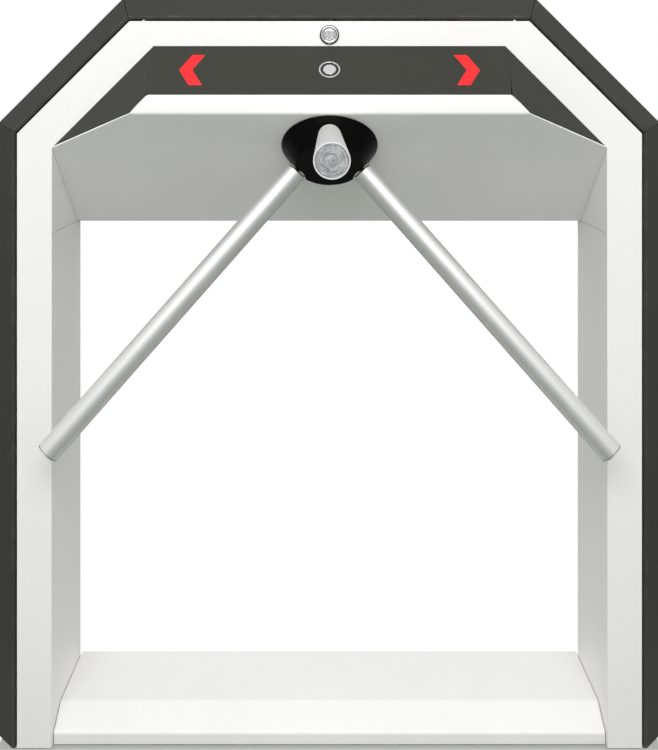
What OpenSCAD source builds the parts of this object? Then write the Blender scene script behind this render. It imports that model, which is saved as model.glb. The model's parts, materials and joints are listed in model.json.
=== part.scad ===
// Turnstile arch with a three-arm rotor that counts the people who walk through.
// Two hollow legs and a housing across the top make the arch. The housing has a nose
// at the front and a sloped underside, and the rotor's shaft stands square to that slope.
// Millimetres. X runs across the passage, Y from front to rear and Z up. The origin is on
// the floor, at the centre of the four anchor holes.

/* [Arch] */
// Clear width between the legs
passage_w = 800; // [700:5:1000]
// Width of the white face of a leg and of the diagonals
leg_face_w = 50; // [41:1:62]
// Height of the white face above the floor
face_h = 1049; // [980:1:1260]
// Width of the white face above the nose
top_face_w = 36; // [32:1:46]
// Size of the 45 degree corner of the white face
corner_cut = 162; // [135:1:200]
// Depth of the arch from front to rear
arch_d = 175; // [170:1:215]
// How far the housing's flat underside lies below the corner where a leg meets its diagonal
underside_drop = 123.7; // [80:0.1:129]
// Chamfer at the rear edge of a leg's inner cheek
cheek_chamfer = 10; // [6:1:14]
// Thickness of the sheet metal panels
sheet_t = 2; // [1.5:0.1:2.5]
// Gap at a seam between two panels
seam = 0.3; // [0.2:0.1:0.5]
// Gap between the panels and the floor
floor_gap = 2; // [1:0.5:4]

/* [Nose] */
// How far the nose stands out of the front
nose_d = 59; // [50:1:74]
// Height of the upright strip between the sloped underside and the indicator fascia
strip_h = 26.8; // [14:0.1:36]
// How far the nose's sides draw in towards the front, square to the diagonal
nose_taper = 52; // [40:1:64]
// Gap between the nose's sides and the sheet of the sloped underside
nose_gap = 1.9; // [0.8:0.1:2.4]
// Height of an arrow, along the fascia
arrow_h = 57; // [46:1:68]
// Length of an arrow, from its rear ends to its tip
arrow_l = 34.5; // [28:0.5:42]
// Thickness of an arrow's limb, along its pointing direction
arrow_limb = 18.5; // [14:0.5:24]
// Distance from the middle of the fascia to an arrow's tip
arrow_tip_x = 212; // [180:1:230]
// Thickness of an arrow's lens
lens_t = 3; // [2:0.5:5]
// Diameter of the round badge on the fascia
badge_dia = 30; // [20:1:40]

/* [Covers] */
// Width of the dark covers, outwards from the white face
cover_w = 36; // [28:1:44]
// Dark gap between the white face and the covers
cover_gap = 2.5; // [1.5:0.5:4]
// Front land of a cover, from the white face to its chamfer
cover_land = 7; // [6:0.5:10]
// Depth of the lips that turn back into the arch
lip_d = 12; // [8:1:14]
// Width of a cover's lip on the rear
rear_lip = 16; // [12:1:20]
// Gap between two covers at a mitre
mitre_gap = 1; // [0.6:0.1:2]
// How far the lid stands above the corner covers
lid_proud = 1; // [0:0.5:2]

/* [Plinth and base] */
// Height of the plinth between the legs
plinth_h = 43; // [36:1:52]
// Height of the plinth's front lip
plinth_lip_h = 19.5; // [14:0.5:24]
// Gap under the plinth's front lip
plinth_toe = 3; // [2:1:8]
// Distance from the arch's front to the plinth's lip
plinth_inset = 7; // [4:1:12]
// Depth of the plinth's front slope
plinth_slope_d = 37; // [30:1:48]
// Thickness of a base plate
base_t = 8; // [6:1:12]
// Distance from a leg's inner cheek to the middle of its anchor holes
anchor_in = 64; // [62:1:66]
// Distance between a leg's two anchor holes
anchor_pitch = 105; // [90:1:120]
// Diameter of an anchor hole
anchor_dia = 14; // [10:0.5:16]
// Diameter of the floor cable hole in the left base plate
cable_hole_dia = 20; // [16:1:24]
// Diameter of the supply cable
cable_dia = 8; // [6:0.5:10]
// Width of the square posts and of the cross beam
post_w = 40; // [30:1:44]
// Wall of the posts and of the cross beam
post_wall = 3; // [2:0.5:4]

/* [Rotor] */
// Tilt of the rotor's shaft below the horizontal
tilt = 49.5; // [45:0.5:54]
// Distance behind the arch's front at which the shaft leaves the slope (negative is in front)
hub_set_y = -5; // [-14:1:0]
// Distance from the slope to the point where the arms' axes meet
apex_depth = 21; // [18:1:24]
// Distance from that point to an arm's tip
arm_reach = 587; // [480:1:704]
// Outer diameter of an arm
arm_dia = 32; // [27:1:38]
// Wall of an arm's tube
arm_wall = 1.5; // [1:0.1:2.5]
// Diameter of the collar between an arm and the hub
collar_dia = 28.6; // [22:0.2:28.8]
// Radius of the hub at the slope
hub_base_r = 69; // [66:1:76]
// Radius of the hub's front face
hub_nose_r = 48; // [44:1:54]
// Height of the hub above the slope
hub_h = 36; // [32:1:42]
// Wall of the hub's cover
hub_wall = 3; // [2:0.5:4]
// Gap between the hub and the slope
hub_gap = 1.5; // [1:0.5:3]
// Diameter of the main shaft
shaft_dia = 30; // [25:1:35]

/* [Mechanism] */
// Thickness of the mechanism plate
plate_t = 8; // [6:1:10]
// Half width of the mechanism plate
plate_half_w = 300; // [270:1:310]
// Outer diameter of a shaft bearing
bearing_dia = 55; // [52:1:58]
// Width of a shaft bearing
bearing_w = 13; // [11:1:16]
// Length of the bearing housing behind the plate
barrel_l = 48; // [40:1:58]
// Tooth size of the gears
gear_module = 1.5; // [1.25:0.25:1.75]
// Teeth of the drive gear, three times those of the pinion
gear_teeth = 60; // [54:6:66]
// Width of the drive gear
gear_w = 12; // [9:1:15]
// Radial play between running parts
run_play = 0.05; // [0.02:0.01:0.08]
// Radius of the lock disc
lock_disc_r = 50; // [46:1:52]
// Depth of the notches in the lock disc
notch_d = 8; // [8:0.5:10]
// Width of a pawl's tooth
tooth_w = 8; // [6:0.5:9]
// Angle that a pawl turns to reach into the lock disc
pawl_swing = 6.9; // [6:0.1:7.2]

/* [Lock and lid hinges] */
// Diameter of the lock's face ring
lock_face_dia = 28; // [22:1:30]
// Diameter of the lock's barrel
lock_barrel_dia = 19; // [15:1:20]
// Diameter of the lock's plug
plug_dia = 13; // [10:0.5:14]
// Distance from the middle of the lid to each hinge
hinge_x = 180; // [120:5:200]
// Width of a hinge
hinge_w = 40; // [32:2:50]
// Diameter of a hinge's knuckles
knuckle_dia = 7; // [6:0.5:8]

/* [Hidden] */
$fn = 72;

white = "#eef0ee";
charcoal = "#3b3d39";
steel = "#b9bcc0";
zinc = "#a9adab";
black = "#17181a";
red = "#ff3e40";
green = "#2e6b45";

// Cuts run this far past what they cut
past = 1;
// Large enough to reach past the whole arch
huge = 2000;

// Outline of the white face
half_in = passage_w / 2;
half_out = half_in + leg_face_w;
diag_out = half_out + face_h - corner_cut;
diag_in = diag_out - leg_face_w * sqrt(2);
nose_top_z = face_h - top_face_w;
knee_z = diag_in - half_in;
underside_h = knee_z - underside_drop;
side_corner_z = diag_out - half_out;
top_corner_x = diag_out - face_h;

// Nose and sloped underside
fall = tan(90 - tilt);
slope_end_y = underside_drop / fall;
strip_top_z = knee_z + fall * nose_d + strip_h;
fascia_drop = nose_top_z - strip_top_z;
panel_back_y = arch_d - sheet_t - seam;
facet_turn = atan2(nose_taper, nose_d);
fascia_len = norm([nose_d, fascia_drop]);
fascia_lean = atan2(nose_d, fascia_drop);
// The inside of the nose's side panels starts this far behind the white face
side_start = sheet_t + seam;

// Covers
mitre = 22.5;
rear_step = cover_w - rear_lip - cover_gap;
bend_take = sheet_t * (sqrt(2) - 1);

// Rotor axis
slope_at_hub_z = knee_z - fall * hub_set_y;
apex_y = hub_set_y + apex_depth * cos(tilt);
apex_z = slope_at_hub_z + apex_depth * sin(tilt);
// The front arm lies level, so an arm leans from the shaft as far as the shaft is tilted
arm_lean = tilt;
arms = 3;
hub_base = apex_depth + hub_gap;
hub_face = hub_base + hub_h - hub_gap;
collar_start = 62;
tube_start = 73;
seat_start = tube_start - 5.5;
seat_r = arm_dia / 2 + 1.5;
cup_r = seat_r + hub_wall;
cup_start = seat_start - hub_wall;
carrier_play = 0.5;
spigot_start = 51;
spigot_dia = 20;
plug_len = 40;
cap_set_back = 0.8;
cap_t = 10;

// Along the shaft, measured from the point where the arms' axes meet
plate_front = -20;
plate_back = plate_front - plate_t;
barrel_end = plate_back - barrel_l;
gear_front = barrel_end - 4;
gear_back = gear_front - gear_w;
encoder_front = gear_back - 6;
encoder_t = 1.5;
encoder_back = encoder_front - encoder_t;
nut_t = 9;
nut_wall = 9;
nut_front = encoder_back - 2;
shaft_end = nut_front - nut_t - 4;
disc_back = -2;
disc_t = 8;
disc_front = disc_back + disc_t;
disc_mid = disc_back + disc_t / 2;

shaft_r = shaft_dia / 2;
bearing_r = bearing_dia / 2;
barrel_r = bearing_r + 6.5;
flange_half = barrel_r + 4.5;
flange_t = 8;
neck_r = shaft_r + 11;
gear_r = gear_module * gear_teeth / 2;
pinion_teeth = gear_teeth / 3;
pinion_r = gear_module * pinion_teeth / 2;
gear_centres = gear_r + pinion_r;
pressure = 20;
backlash = 0.12;
pinion_shaft_r = 5;
damper_r = min(20, gear_centres - flange_half - 1.5);
damper_l = 30;
encoder_r = gear_r - 9;
encoder_slots = 24;

// Mechanism plate, its beam and the boards behind it
plate_low = -140;
plate_high = 40;
beam_low = plate_low;
screw_dia = 8;
beam_screw_x = [60, 240];
housing_screw_at = flange_half - 7.5;

// Lock disc and pawls, drawn for the right side
pawl_pivot_x = lock_disc_r - 1;
pawl_pivot_y = -58;
// How deep a tooth reaches into a notch
tooth_hold = 4.5;
tooth_tip = lock_disc_r - pawl_pivot_y * sin(pawl_swing) - tooth_hold;
pawl_pin_r = 4;
pawl_boss_r = 8;
pawl_inner_x = tooth_tip + 6.5;
pawl_outer_x = pawl_inner_x + 10;
pawl_top_y = 36;
pusher_y = 28;
pusher_play = 0.8;
plunger_r = 5;
plunger_l = 45;
coil_gap = 17;
coil_w = 40;
coil_h = 28;
notches = 12;

// Boards behind the mechanism plate
board_x0 = 180;
board_x1 = 280;
board_low = -85;
board_high = 5;
supply_high = 20;
board_stand_off = 10;
board_t = 2;
terminals_w = 12;

// The supply cable's run passes just behind the plate and over the cross beam
cable_run_up = -76;
cable_run_back = plate_back - cable_dia / 2 - 1;
cable_y = apex_y - cable_run_back * cos(tilt) - cable_run_up * sin(tilt);
cable_z = apex_z - cable_run_back * sin(tilt) + cable_run_up * cos(tilt);

// Optical forks of the rotation sensor
fork_t = 2;
fork_half = 4;
fork_x = 10;
fork_bar_half = 18;
fork_in = max(encoder_r - 8, shaft_r + nut_wall + 2);
fork_bar_y = gear_r + gear_module + 4;
fork_bar_t = 3;
fork_foot = 14;

// Posts, base plates and plinth
post_in = 5;
post_x = half_in + post_in;
beam_mid_y = apex_y - (beam_low + post_w / 2) * sin(tilt) - (plate_back - post_w / 2) * cos(tilt);
beam_mid_z = apex_z + (beam_low + post_w / 2) * cos(tilt) - (plate_back - post_w / 2) * sin(tilt);
post_y = beam_mid_y - post_w / 2;
post_top = beam_mid_z + post_w * 0.85;
base_x0 = half_in + 4;
base_x1 = half_out + cover_w - sheet_t - 4;
base_front = lip_d + 2;
base_rear = arch_d - cheek_chamfer - 2;
tie_w = 80;
tie_side = 3;
tie_top = plinth_h - sheet_t - seam;

// Lock
lock_z = nose_top_z + top_face_w * 0.45;
lock_face_t = 3;
lock_barrel_l = 24;
lock_nut_t = 6;
plug_end = lock_barrel_l + 1.5;
plug_set_back = 0.6;
key_w = 1.8;
key_depth = 6;
cam_t = 3;
cam_w = 10;
cam_l = 24;
hook_y = lock_barrel_l;
hook_w = 12;
hook_x = 26;
hook_foot = 12;
hook_foot_z = lock_z - cam_w / 2 - 3;
hook_top_y = cover_w - cover_land + 4;
hook_back = cover_w - cover_land + 15;
lid_inside_z = face_h + cover_w + lid_proud - sheet_t;

// Lid hinges
hinge_y = arch_d + knuckle_dia / 2;
hinge_z = face_h + rear_step + 1;
leaf_t = 1.6;
hinge_pin_r = 1.5;
hinge_third = hinge_w / 6;
fixed_leaf_l = 26;
moving_leaf_l = face_h + cover_w + lid_proud - hinge_z - 1;

// Everything drawn on the arch is placed from its front face
module on_arch() translate([0, -arch_d / 2, 0]) children();

// Local +z runs out along the rotor's shaft, and local +y runs up and forwards
module on_axis() on_arch() translate([0, apex_y, apex_z]) rotate([90 + tilt, 0, 0]) children();

// A flat outline in X and Z, from y0 to y1
module front_slab(y0, y1) translate([0, y1, 0]) rotate([90, 0, 0]) linear_extrude(y1 - y0) children();

// A flat outline in Y and Z, from x0 to x1
module side_slab(x0, x1) translate([x0, 0, 0]) rotate([90, 0, 90]) linear_extrude(x1 - x0) children();

module block(low, high) translate(low) cube(high - low);

module mirrored_pair() {
    children();
    mirror([1, 0, 0]) children();
}

module rod(r, z0, z1) translate([0, 0, z0]) cylinder(r = r, h = z1 - z0);

module ring(r_out, r_in, z0, z1) difference() {
    rod(r_out, z0, z1);
    rod(r_in, z0 - past, z1 + past);
}

// An arch outline: half width, top height, sum of x and z on the diagonals, foot height
function arch_points(half, top, diag, foot) = [
    [-half, foot], [-half, diag - half], [top - diag, top],
    [diag - top, top], [half, diag - half], [half, foot]
];

// The white face's outline, moved outwards by o
module face_outline(o, foot = floor_gap)
    polygon(arch_points(half_out + o, face_h + o, diag_out + o * sqrt(2), foot));

// The inner cheek of the right leg, folded back from the face and notched for the tie channel
module cheek() difference() {
    translate([0, 0, floor_gap]) linear_extrude(underside_h - seam - floor_gap) polygon([
        [half_in, 0], [half_in, arch_d - cheek_chamfer],
        [half_in + cheek_chamfer, arch_d], [half_in + cheek_chamfer, arch_d - sheet_t * sqrt(2)],
        [half_in + sheet_t, arch_d - cheek_chamfer - bend_take], [half_in + sheet_t, 0]
    ]);
    block([half_in - past, (arch_d - tie_w) / 2 - seam, 0],
        [half_in + sheet_t + past, (arch_d + tie_w) / 2 + seam, tie_top + seam]);
}

// The white face, its lip along the outside and the cheeks of the legs are one folded sheet
module front_panel() color(white) on_arch() difference() {
    union() {
        front_slab(0, sheet_t) difference() {
            face_outline(0);
            polygon(arch_points(half_in, nose_top_z, diag_in, floor_gap - past));
        }
        front_slab(0, lip_d) difference() {
            face_outline(0);
            face_outline(-sheet_t, floor_gap - past);
        }
        mirrored_pair() cheek();
    }
    translate([0, 0, lock_z]) rotate([90, 0, 0])
        cylinder(d = lock_barrel_dia + 2 * run_play, h = 3 * lip_d, center = true);
}

module rear_panel() color(white) on_arch() front_slab(arch_d - sheet_t, arch_d) difference() {
    face_outline(rear_step);
    polygon([
        [-half_in - cheek_chamfer - seam, floor_gap - past],
        [-half_in - cheek_chamfer - seam, underside_h - seam],
        [half_in + cheek_chamfer + seam, underside_h - seam],
        [half_in + cheek_chamfer + seam, floor_gap - past]
    ]);
}

// Closes the wedge between the flat underside and the slope at each end
module housing_ends() {
    hem = 12;
    color(white) on_arch() mirrored_pair() side_slab(half_in, half_in + sheet_t) polygon([
        [side_start, underside_h + seam], [panel_back_y, underside_h + seam],
        [panel_back_y, underside_h + hem], [slope_end_y, underside_h + hem],
        [side_start, knee_z - fall * side_start + hem]
    ]);
}

// The space of the white face, with a seam's gap round it
module face_space() front_slab(-seam, sheet_t + seam) difference() {
    translate([-huge / 2, 0]) square(huge);
    polygon(arch_points(half_in - seam, nose_top_z - seam, diag_in - seam * sqrt(2), -past));
}

// Local +x points out of the plane of the nose's right side
module at_nose_side() translate([half_in, 0, knee_z]) rotate([0, -45, 0])
    rotate([0, 0, -facet_turn]) children();

module outside_nose() at_nose_side() translate([0, -huge / 2, -huge / 2]) cube(huge);

// The strip below the fascia, the slope and the flat underside are one bent sheet
module housing_shell() color(white) difference() {
    on_arch() difference() {
        side_slab(seam - half_in, half_in - seam) polygon([
            [-nose_d, strip_top_z - 2 * seam], [-nose_d, knee_z + fall * nose_d],
            [slope_end_y, underside_h], [panel_back_y, underside_h],
            [panel_back_y, underside_h + sheet_t],
            [(knee_z + sheet_t / sin(tilt) - underside_h - sheet_t) / fall, underside_h + sheet_t],
            [sheet_t - nose_d, knee_z + sheet_t / sin(tilt) + fall * (nose_d - sheet_t)],
            [sheet_t - nose_d, strip_top_z - 2 * seam - sheet_t * nose_d / fascia_drop]
        ]);
        mirrored_pair() outside_nose();
        face_space();
    }
    on_axis() rod(neck_r + 2, 0, hub_face);
}

// Local x runs along the fascia and local y up its slope, with +z out of its face
module on_fascia() on_arch() translate([0, -nose_d / 2, nose_top_z - fascia_drop / 2])
    rotate([90 - fascia_lean, 0, 0]) children();

// An arrow that points to +x, with its tip at the origin, grown all round by g
module arrow(g = 0) polygon([
    [1.5 * g, 0], [arrow_limb - arrow_l + g, arrow_h / 2 + g], [-arrow_l - g, arrow_h / 2 + g],
    [-arrow_limb - 1.5 * g, 0], [-arrow_l - g, -arrow_h / 2 - g],
    [arrow_limb - arrow_l + g, -arrow_h / 2 - g]
]);

module at_arrows() on_fascia() mirrored_pair() translate([arrow_tip_x, 0, 0]) children();

module indicator_fascia() color(charcoal) difference() {
    on_fascia() translate([-half_in, seam - fascia_len / 2, -sheet_t])
        cube([2 * half_in, fascia_len - 2 * seam, sheet_t]);
    on_arch() {
        mirrored_pair() outside_nose();
        face_space();
    }
    at_arrows() translate([0, 0, -3 * sheet_t]) linear_extrude(6 * sheet_t) arrow(0.2);
}

module arrow_lens() color(red) translate([arrow_tip_x, 0, -lens_t]) linear_extrude(lens_t) arrow();
module right_arrow_lens() on_fascia() arrow_lens();
module left_arrow_lens() on_fascia() mirror([1, 0, 0]) arrow_lens();

module led_boards() color(green) at_arrows()
    block([-arrow_l - 8, -arrow_h / 2 - 4, -lens_t - 12], [6, arrow_h / 2 + 4, -lens_t - 10]);

module fascia_badge() color(steel) on_fascia() {
    ring(badge_dia / 2, badge_dia / 2 - 2, 0, 0.8);
    rod(badge_dia / 2 - 6, 0, 0.8);
}

// A side panel lies just inside the nose's side plane, behind the edges of its neighbours
module nose_side() color(charcoal) on_arch() difference() {
    side_slab(half_in - corner_cut - 2 * nose_taper, half_in) polygon([
        [-seam, nose_top_z - sheet_t * 2], [-seam, knee_z + nose_gap + sheet_t / sin(tilt)],
        [sheet_t + nose_gap - nose_d, knee_z + nose_gap + sheet_t / sin(tilt)
            + fall * (nose_d - sheet_t - nose_gap)],
        [sheet_t + nose_gap - nose_d, strip_top_z - sheet_t]
    ]);
    outside_nose();
    at_nose_side() translate([-huge - sheet_t, -huge / 2, -huge / 2]) cube(huge);
}

module right_nose_side() nose_side();
module left_nose_side() mirror([1, 0, 0]) nose_side();

// A cover's section: x outwards from the white face, y from front to rear
module cover_section(w) polygon([
    [cover_gap, lip_d], [cover_gap, 0], [cover_land, 0], [w, w - cover_land], [w, arch_d],
    [w - rear_lip, arch_d], [w - rear_lip, arch_d - sheet_t], [w - sheet_t, arch_d - sheet_t],
    [w - sheet_t, w - cover_land + bend_take], [cover_land - bend_take, sheet_t],
    [cover_gap + sheet_t, sheet_t], [cover_gap + sheet_t, lip_d]
]);

// A length of cover along local z, cut at the mitre at each end that has one
module cover(len, w, low_mitre = true) {
    reach = w + past;
    spread = reach * tan(mitre);
    half_gap = mitre_gap / 2;
    intersection() {
        translate([0, 0, -huge / 2]) linear_extrude(huge) cover_section(w);
        front_slab(-past, arch_d + past) polygon([
            [0, low_mitre ? half_gap : 0], [reach, low_mitre ? half_gap - spread : 0],
            [reach, len + spread - half_gap], [0, len - half_gap]
        ]);
    }
}

module side_cover() color(charcoal) on_arch() translate([half_out, 0, floor_gap])
    cover(side_corner_z - floor_gap, cover_w, false);
module right_side_cover() side_cover();
module left_side_cover() mirror([1, 0, 0]) side_cover();

module corner_cover() color(charcoal) on_arch() translate([half_out, 0, side_corner_z])
    rotate([0, -45, 0]) cover(corner_cut * sqrt(2), cover_w);
module right_corner_cover() corner_cover();
module left_corner_cover() mirror([1, 0, 0]) corner_cover();

module top_lid() color(charcoal) on_arch() translate([top_corner_x, 0, face_h])
    rotate([0, -90, 0]) cover(2 * top_corner_x, cover_w + lid_proud);

// The hook hangs from the lid behind its chamfer, and its foot goes under the lock's cam
module lid_hook() color(zinc) on_arch() {
    side_slab(hook_x, hook_x + sheet_t) polygon([
        [hook_y, hook_foot_z - sheet_t], [hook_back, hook_foot_z - sheet_t],
        [hook_back, lid_inside_z], [hook_top_y, lid_inside_z], [hook_y, lid_inside_z - hook_w]
    ]);
    block([hook_x - hook_foot, hook_y, hook_foot_z - sheet_t], [hook_x, hook_y + hook_w, hook_foot_z]);
    block([hook_x, hook_top_y, lid_inside_z - sheet_t], [hook_x + hook_w, hook_back, lid_inside_z]);
}

module at_hinges() on_arch() for (side = [-1, 1])
    translate([side * hinge_x, hinge_y, hinge_z]) rotate([0, 90, 0]) children();

// Local z runs along the pin. Local +x points down, to the fixed leaf
module leaf(x0, x1, z0, z1) block([x0, -knuckle_dia / 2, z0], [x1, leaf_t - knuckle_dia / 2, z1]);

module lid_hinge_fixed_leaves() color(zinc) at_hinges() difference() {
    union() {
        rod(knuckle_dia / 2, -hinge_third, hinge_third);
        leaf(0, knuckle_dia / 2 + past, -hinge_third, hinge_third);
        leaf(knuckle_dia / 2 + 0.5, fixed_leaf_l, -hinge_w / 2, hinge_w / 2);
    }
    rod(hinge_pin_r + run_play, -hinge_w, hinge_w);
}

module lid_hinge_moving_leaves() color(zinc) at_hinges() difference() {
    union() {
        for (side = [-1, 1]) {
            low = side > 0 ? hinge_third + seam : -hinge_w / 2;
            high = side > 0 ? hinge_w / 2 : -hinge_third - seam;
            rod(knuckle_dia / 2, low, high);
            leaf(-knuckle_dia / 2 - past, 0, low, high);
        }
        leaf(-moving_leaf_l, -knuckle_dia / 2 - 0.5, -hinge_w / 2, hinge_w / 2);
    }
    rod(hinge_pin_r + run_play, -hinge_w, hinge_w);
}

module lid_hinge_pins() color(steel) at_hinges() rod(hinge_pin_r, -hinge_w / 2 - 0.5, hinge_w / 2 + 0.5);

// Local +z runs from the front of the arch to the rear, with the origin on the lock's axis
module on_lock() on_arch() translate([0, 0, lock_z]) rotate([-90, 0, 0]) children();

module lock_body() color(steel) on_lock() difference() {
    union() {
        rod(lock_face_dia / 2, -lock_face_t, 0);
        rod(lock_barrel_dia / 2, -lock_face_t, lock_barrel_l);
    }
    rod(plug_dia / 2 + run_play, -lock_face_t - past, lock_barrel_l + past);
}

module lock_nut() color(zinc) on_lock() difference() {
    translate([0, 0, sheet_t]) cylinder(r = lock_face_dia / 2, h = lock_nut_t, $fn = 6);
    rod(lock_barrel_dia / 2 + run_play, 0, lip_d);
}

// The key's slot stands upright at rest
module lock_plug() color(steel) on_lock() difference() {
    rod(plug_dia / 2, plug_set_back - lock_face_t, plug_end);
    block([-key_w / 2, -plug_dia / 3, -lock_face_t], [key_w / 2, plug_dia / 3, key_depth]);
}

// The cam stands up when the lid is free, and a quarter turn brings it down onto the hook's foot
module lock_cam() color(zinc) on_lock() translate([0, 0, plug_end])
    block([-cam_w / 2, -cam_l, 0], [cam_w / 2, cam_w / 2, cam_t]);

module plinth_cover() {
    x = half_in - 3 * seam;
    lip_y = plinth_inset;
    slope_y = plinth_inset + plinth_slope_d;
    lean = atan2(plinth_h - plinth_lip_h, plinth_slope_d);
    low_take = sheet_t * tan((90 - lean) / 2);
    high_take = sheet_t * tan(lean / 2);
    color(white) on_arch() side_slab(-x, x) polygon([
        [lip_y, plinth_toe], [lip_y, plinth_lip_h], [slope_y, plinth_h], [arch_d, plinth_h],
        [arch_d, plinth_toe], [arch_d - sheet_t, plinth_toe], [arch_d - sheet_t, plinth_h - sheet_t],
        [slope_y + high_take, plinth_h - sheet_t], [lip_y + sheet_t, plinth_lip_h - low_take],
        [lip_y + sheet_t, plinth_toe]
    ]);
}

// A channel with its legs down ties the two base plates under the plinth
module floor_tie_channel() {
    x = base_x0 - seam;
    color(zinc) on_arch() translate([0, arch_d / 2, 0]) difference() {
        block([-x, -tie_w / 2, 0], [x, tie_w / 2, tie_top]);
        block([-x - past, tie_side - tie_w / 2, -past],
            [x + past, tie_w / 2 - tie_side, tie_top - tie_side]);
    }
}

// Its outer front corner is cut to clear the side cover's chamfer
module base_plate() difference() {
    linear_extrude(base_t) polygon([
        [base_x0, base_front], [half_out + cover_land + base_front - 2 * sheet_t, base_front],
        [base_x1, base_x1 - half_out - cover_land + 2 * sheet_t], [base_x1, base_rear],
        [base_x0, base_rear]
    ]);
    for (side = [-1, 1]) translate([half_in + anchor_in, arch_d / 2 + side * anchor_pitch / 2, 0])
        rod(anchor_dia / 2, -past, base_t + past);
}

module right_base_plate() color(zinc) on_arch() base_plate();

module left_base_plate() color(zinc) on_arch() difference() {
    mirror([1, 0, 0]) base_plate();
    translate([-half_in - anchor_in, cable_y, 0]) rod(cable_hole_dia / 2, -past, base_t + past);
}

module post() color(zinc) on_arch() difference() {
    block([post_x, post_y, base_t], [post_x + post_w, post_y + post_w, post_top]);
    block([post_x + post_wall, post_y + post_wall, base_t - past],
        [post_x + post_w - post_wall, post_y + post_w - post_wall, post_top + past]);
}

module right_post() post();
module left_post() mirror([1, 0, 0]) post();

// The beam lies square to the shaft, so that the mechanism plate bolts flat to it
module cross_beam() color(zinc) on_axis() difference() {
    block([-post_x, beam_low, plate_back - post_w], [post_x, beam_low + post_w, plate_back]);
    block([-post_x - past, beam_low + post_wall, plate_back - post_w + post_wall],
        [post_x + past, beam_low + post_w - post_wall, plate_back - post_wall]);
    at_beam_screws() rod(screw_dia / 2 + run_play, plate_back - post_wall - past, plate_back + past);
}

module at_beam_screws() for (x = beam_screw_x, side = [-1, 1])
    translate([side * x, beam_low + post_w / 2, 0]) children();

module at_housing_screws() for (x = [-1, 1], y = [-1, 1])
    translate([x * housing_screw_at, y * housing_screw_at, 0]) children();

module mechanism_plate() color(zinc) on_axis() difference() {
    block([-plate_half_w, plate_low, plate_back], [plate_half_w, plate_high, plate_front]);
    rod(neck_r, plate_back - past, plate_front + past);
    at_beam_screws() rod(screw_dia / 2 + run_play, plate_back - past, plate_front + past);
    at_housing_screws() rod(screw_dia / 2 + run_play, plate_back - past, plate_front + past);
    for (side = [-1, 1]) translate([side * pawl_pivot_x, pawl_pivot_y, 0])
        rod(pawl_pin_r + run_play, plate_back - past, plate_front + past);
}

// The heads sit on the plate's front
module mechanism_screws() color(steel) on_axis() {
    at_beam_screws() screw(plate_back - post_wall - 6);
    at_housing_screws() screw(plate_back - flange_t);
}

module screw(tip) {
    rod(screw_dia / 2, tip, plate_front + past);
    rod(screw_dia * 0.8, plate_front, plate_front + screw_dia * 0.6);
}

module bearing_housing() color(zinc) on_axis() difference() {
    union() {
        block([-flange_half, -flange_half, plate_back - flange_t], [flange_half, flange_half, plate_back]);
        rod(barrel_r, barrel_end, plate_back);
    }
    rod(bearing_r - 3, barrel_end - past, plate_back + past);
    rod(bearing_r + run_play, barrel_end - past, barrel_end + bearing_w);
    rod(bearing_r + run_play, plate_back - bearing_w, plate_back + past);
    at_housing_screws() rod(screw_dia / 2 + run_play, barrel_end - past, plate_back + past);
}

module shaft_bearings() color(steel) on_axis() {
    ring(bearing_r, shaft_r + run_play, barrel_end, barrel_end + bearing_w);
    ring(bearing_r, shaft_r + run_play, plate_back - bearing_w, plate_back);
}

// The shaft has a collar in front of the front bearing
module main_shaft() color(steel) on_axis() {
    rod(shaft_r, shaft_end, hub_base + 12);
    rod(shaft_r + 4, plate_back + seam, disc_back);
}

module shaft_nut() color(steel) on_axis() difference() {
    translate([0, 0, nut_front - nut_t]) cylinder(r = shaft_r + nut_wall, h = nut_t, $fn = 6);
    rod(shaft_r + run_play, shaft_end, 0);
}

// Local +z runs out along one arm, from the point where the arms' axes meet
module on_arm(k) on_axis() rotate([0, 0, 360 / arms * k]) rotate([-arm_lean, 0, 0]) children();

// The hub's cone between two heights along the shaft, moved inwards by inset
module hub_cone(inset, low, high) {
    drop = (hub_base_r - hub_nose_r) / (hub_face - hub_base);
    translate([0, 0, low]) cylinder(r1 = hub_base_r - inset - drop * (low - hub_base),
        r2 = hub_base_r - inset - drop * (high - hub_base), h = high - low);
}

module hub_carrier() color(zinc) difference() {
    on_axis() union() {
        hub_cone(hub_wall + 1.5, hub_base + 1.5, hub_face - hub_wall - 2);
        rod(neck_r, disc_front, hub_base + 2);
    }
    on_axis() rod(shaft_r + run_play, 0, hub_base + 12 + seam);
    for (k = [0 : arms - 1]) on_arm(k) {
        rod(spigot_dia / 2 + run_play, spigot_start - seam, collar_start + past);
        rod(collar_dia / 2 + 0.4, collar_start - seam, arm_reach);
        rod(cup_r + carrier_play, cup_start - carrier_play, arm_reach);
    }
}

// Each arm has a round seat sunk in the cone, so that its collar stands clear of the cover
module hub_cover() color(black) difference() {
    union() {
        on_axis() difference() {
            hub_cone(0, hub_base, hub_face);
            hub_cone(hub_wall, hub_base - past, hub_face - hub_wall);
        }
        intersection() {
            on_axis() hub_cone(0, hub_base, hub_face);
            for (k = [0 : arms - 1]) on_arm(k) rod(cup_r, cup_start, arm_reach);
        }
    }
    for (k = [0 : arms - 1]) on_arm(k) {
        rod(seat_r, seat_start, arm_reach);
        rod(collar_dia / 2 + 1, collar_start - 10, arm_reach);
    }
}

module arm(k) color(steel) on_arm(k) ring(arm_dia / 2, arm_dia / 2 - arm_wall, tube_start, arm_reach);
module arm_1() arm(0);
module arm_2() arm(1);
module arm_3() arm(2);

module arm_collars() color(steel) for (k = [0 : arms - 1]) on_arm(k) {
    rod(spigot_dia / 2, spigot_start, collar_start + past);
    rod(collar_dia / 2, collar_start, tube_start);
    rod(arm_dia / 2 - arm_wall - run_play, tube_start, tube_start + plug_len);
}

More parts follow.
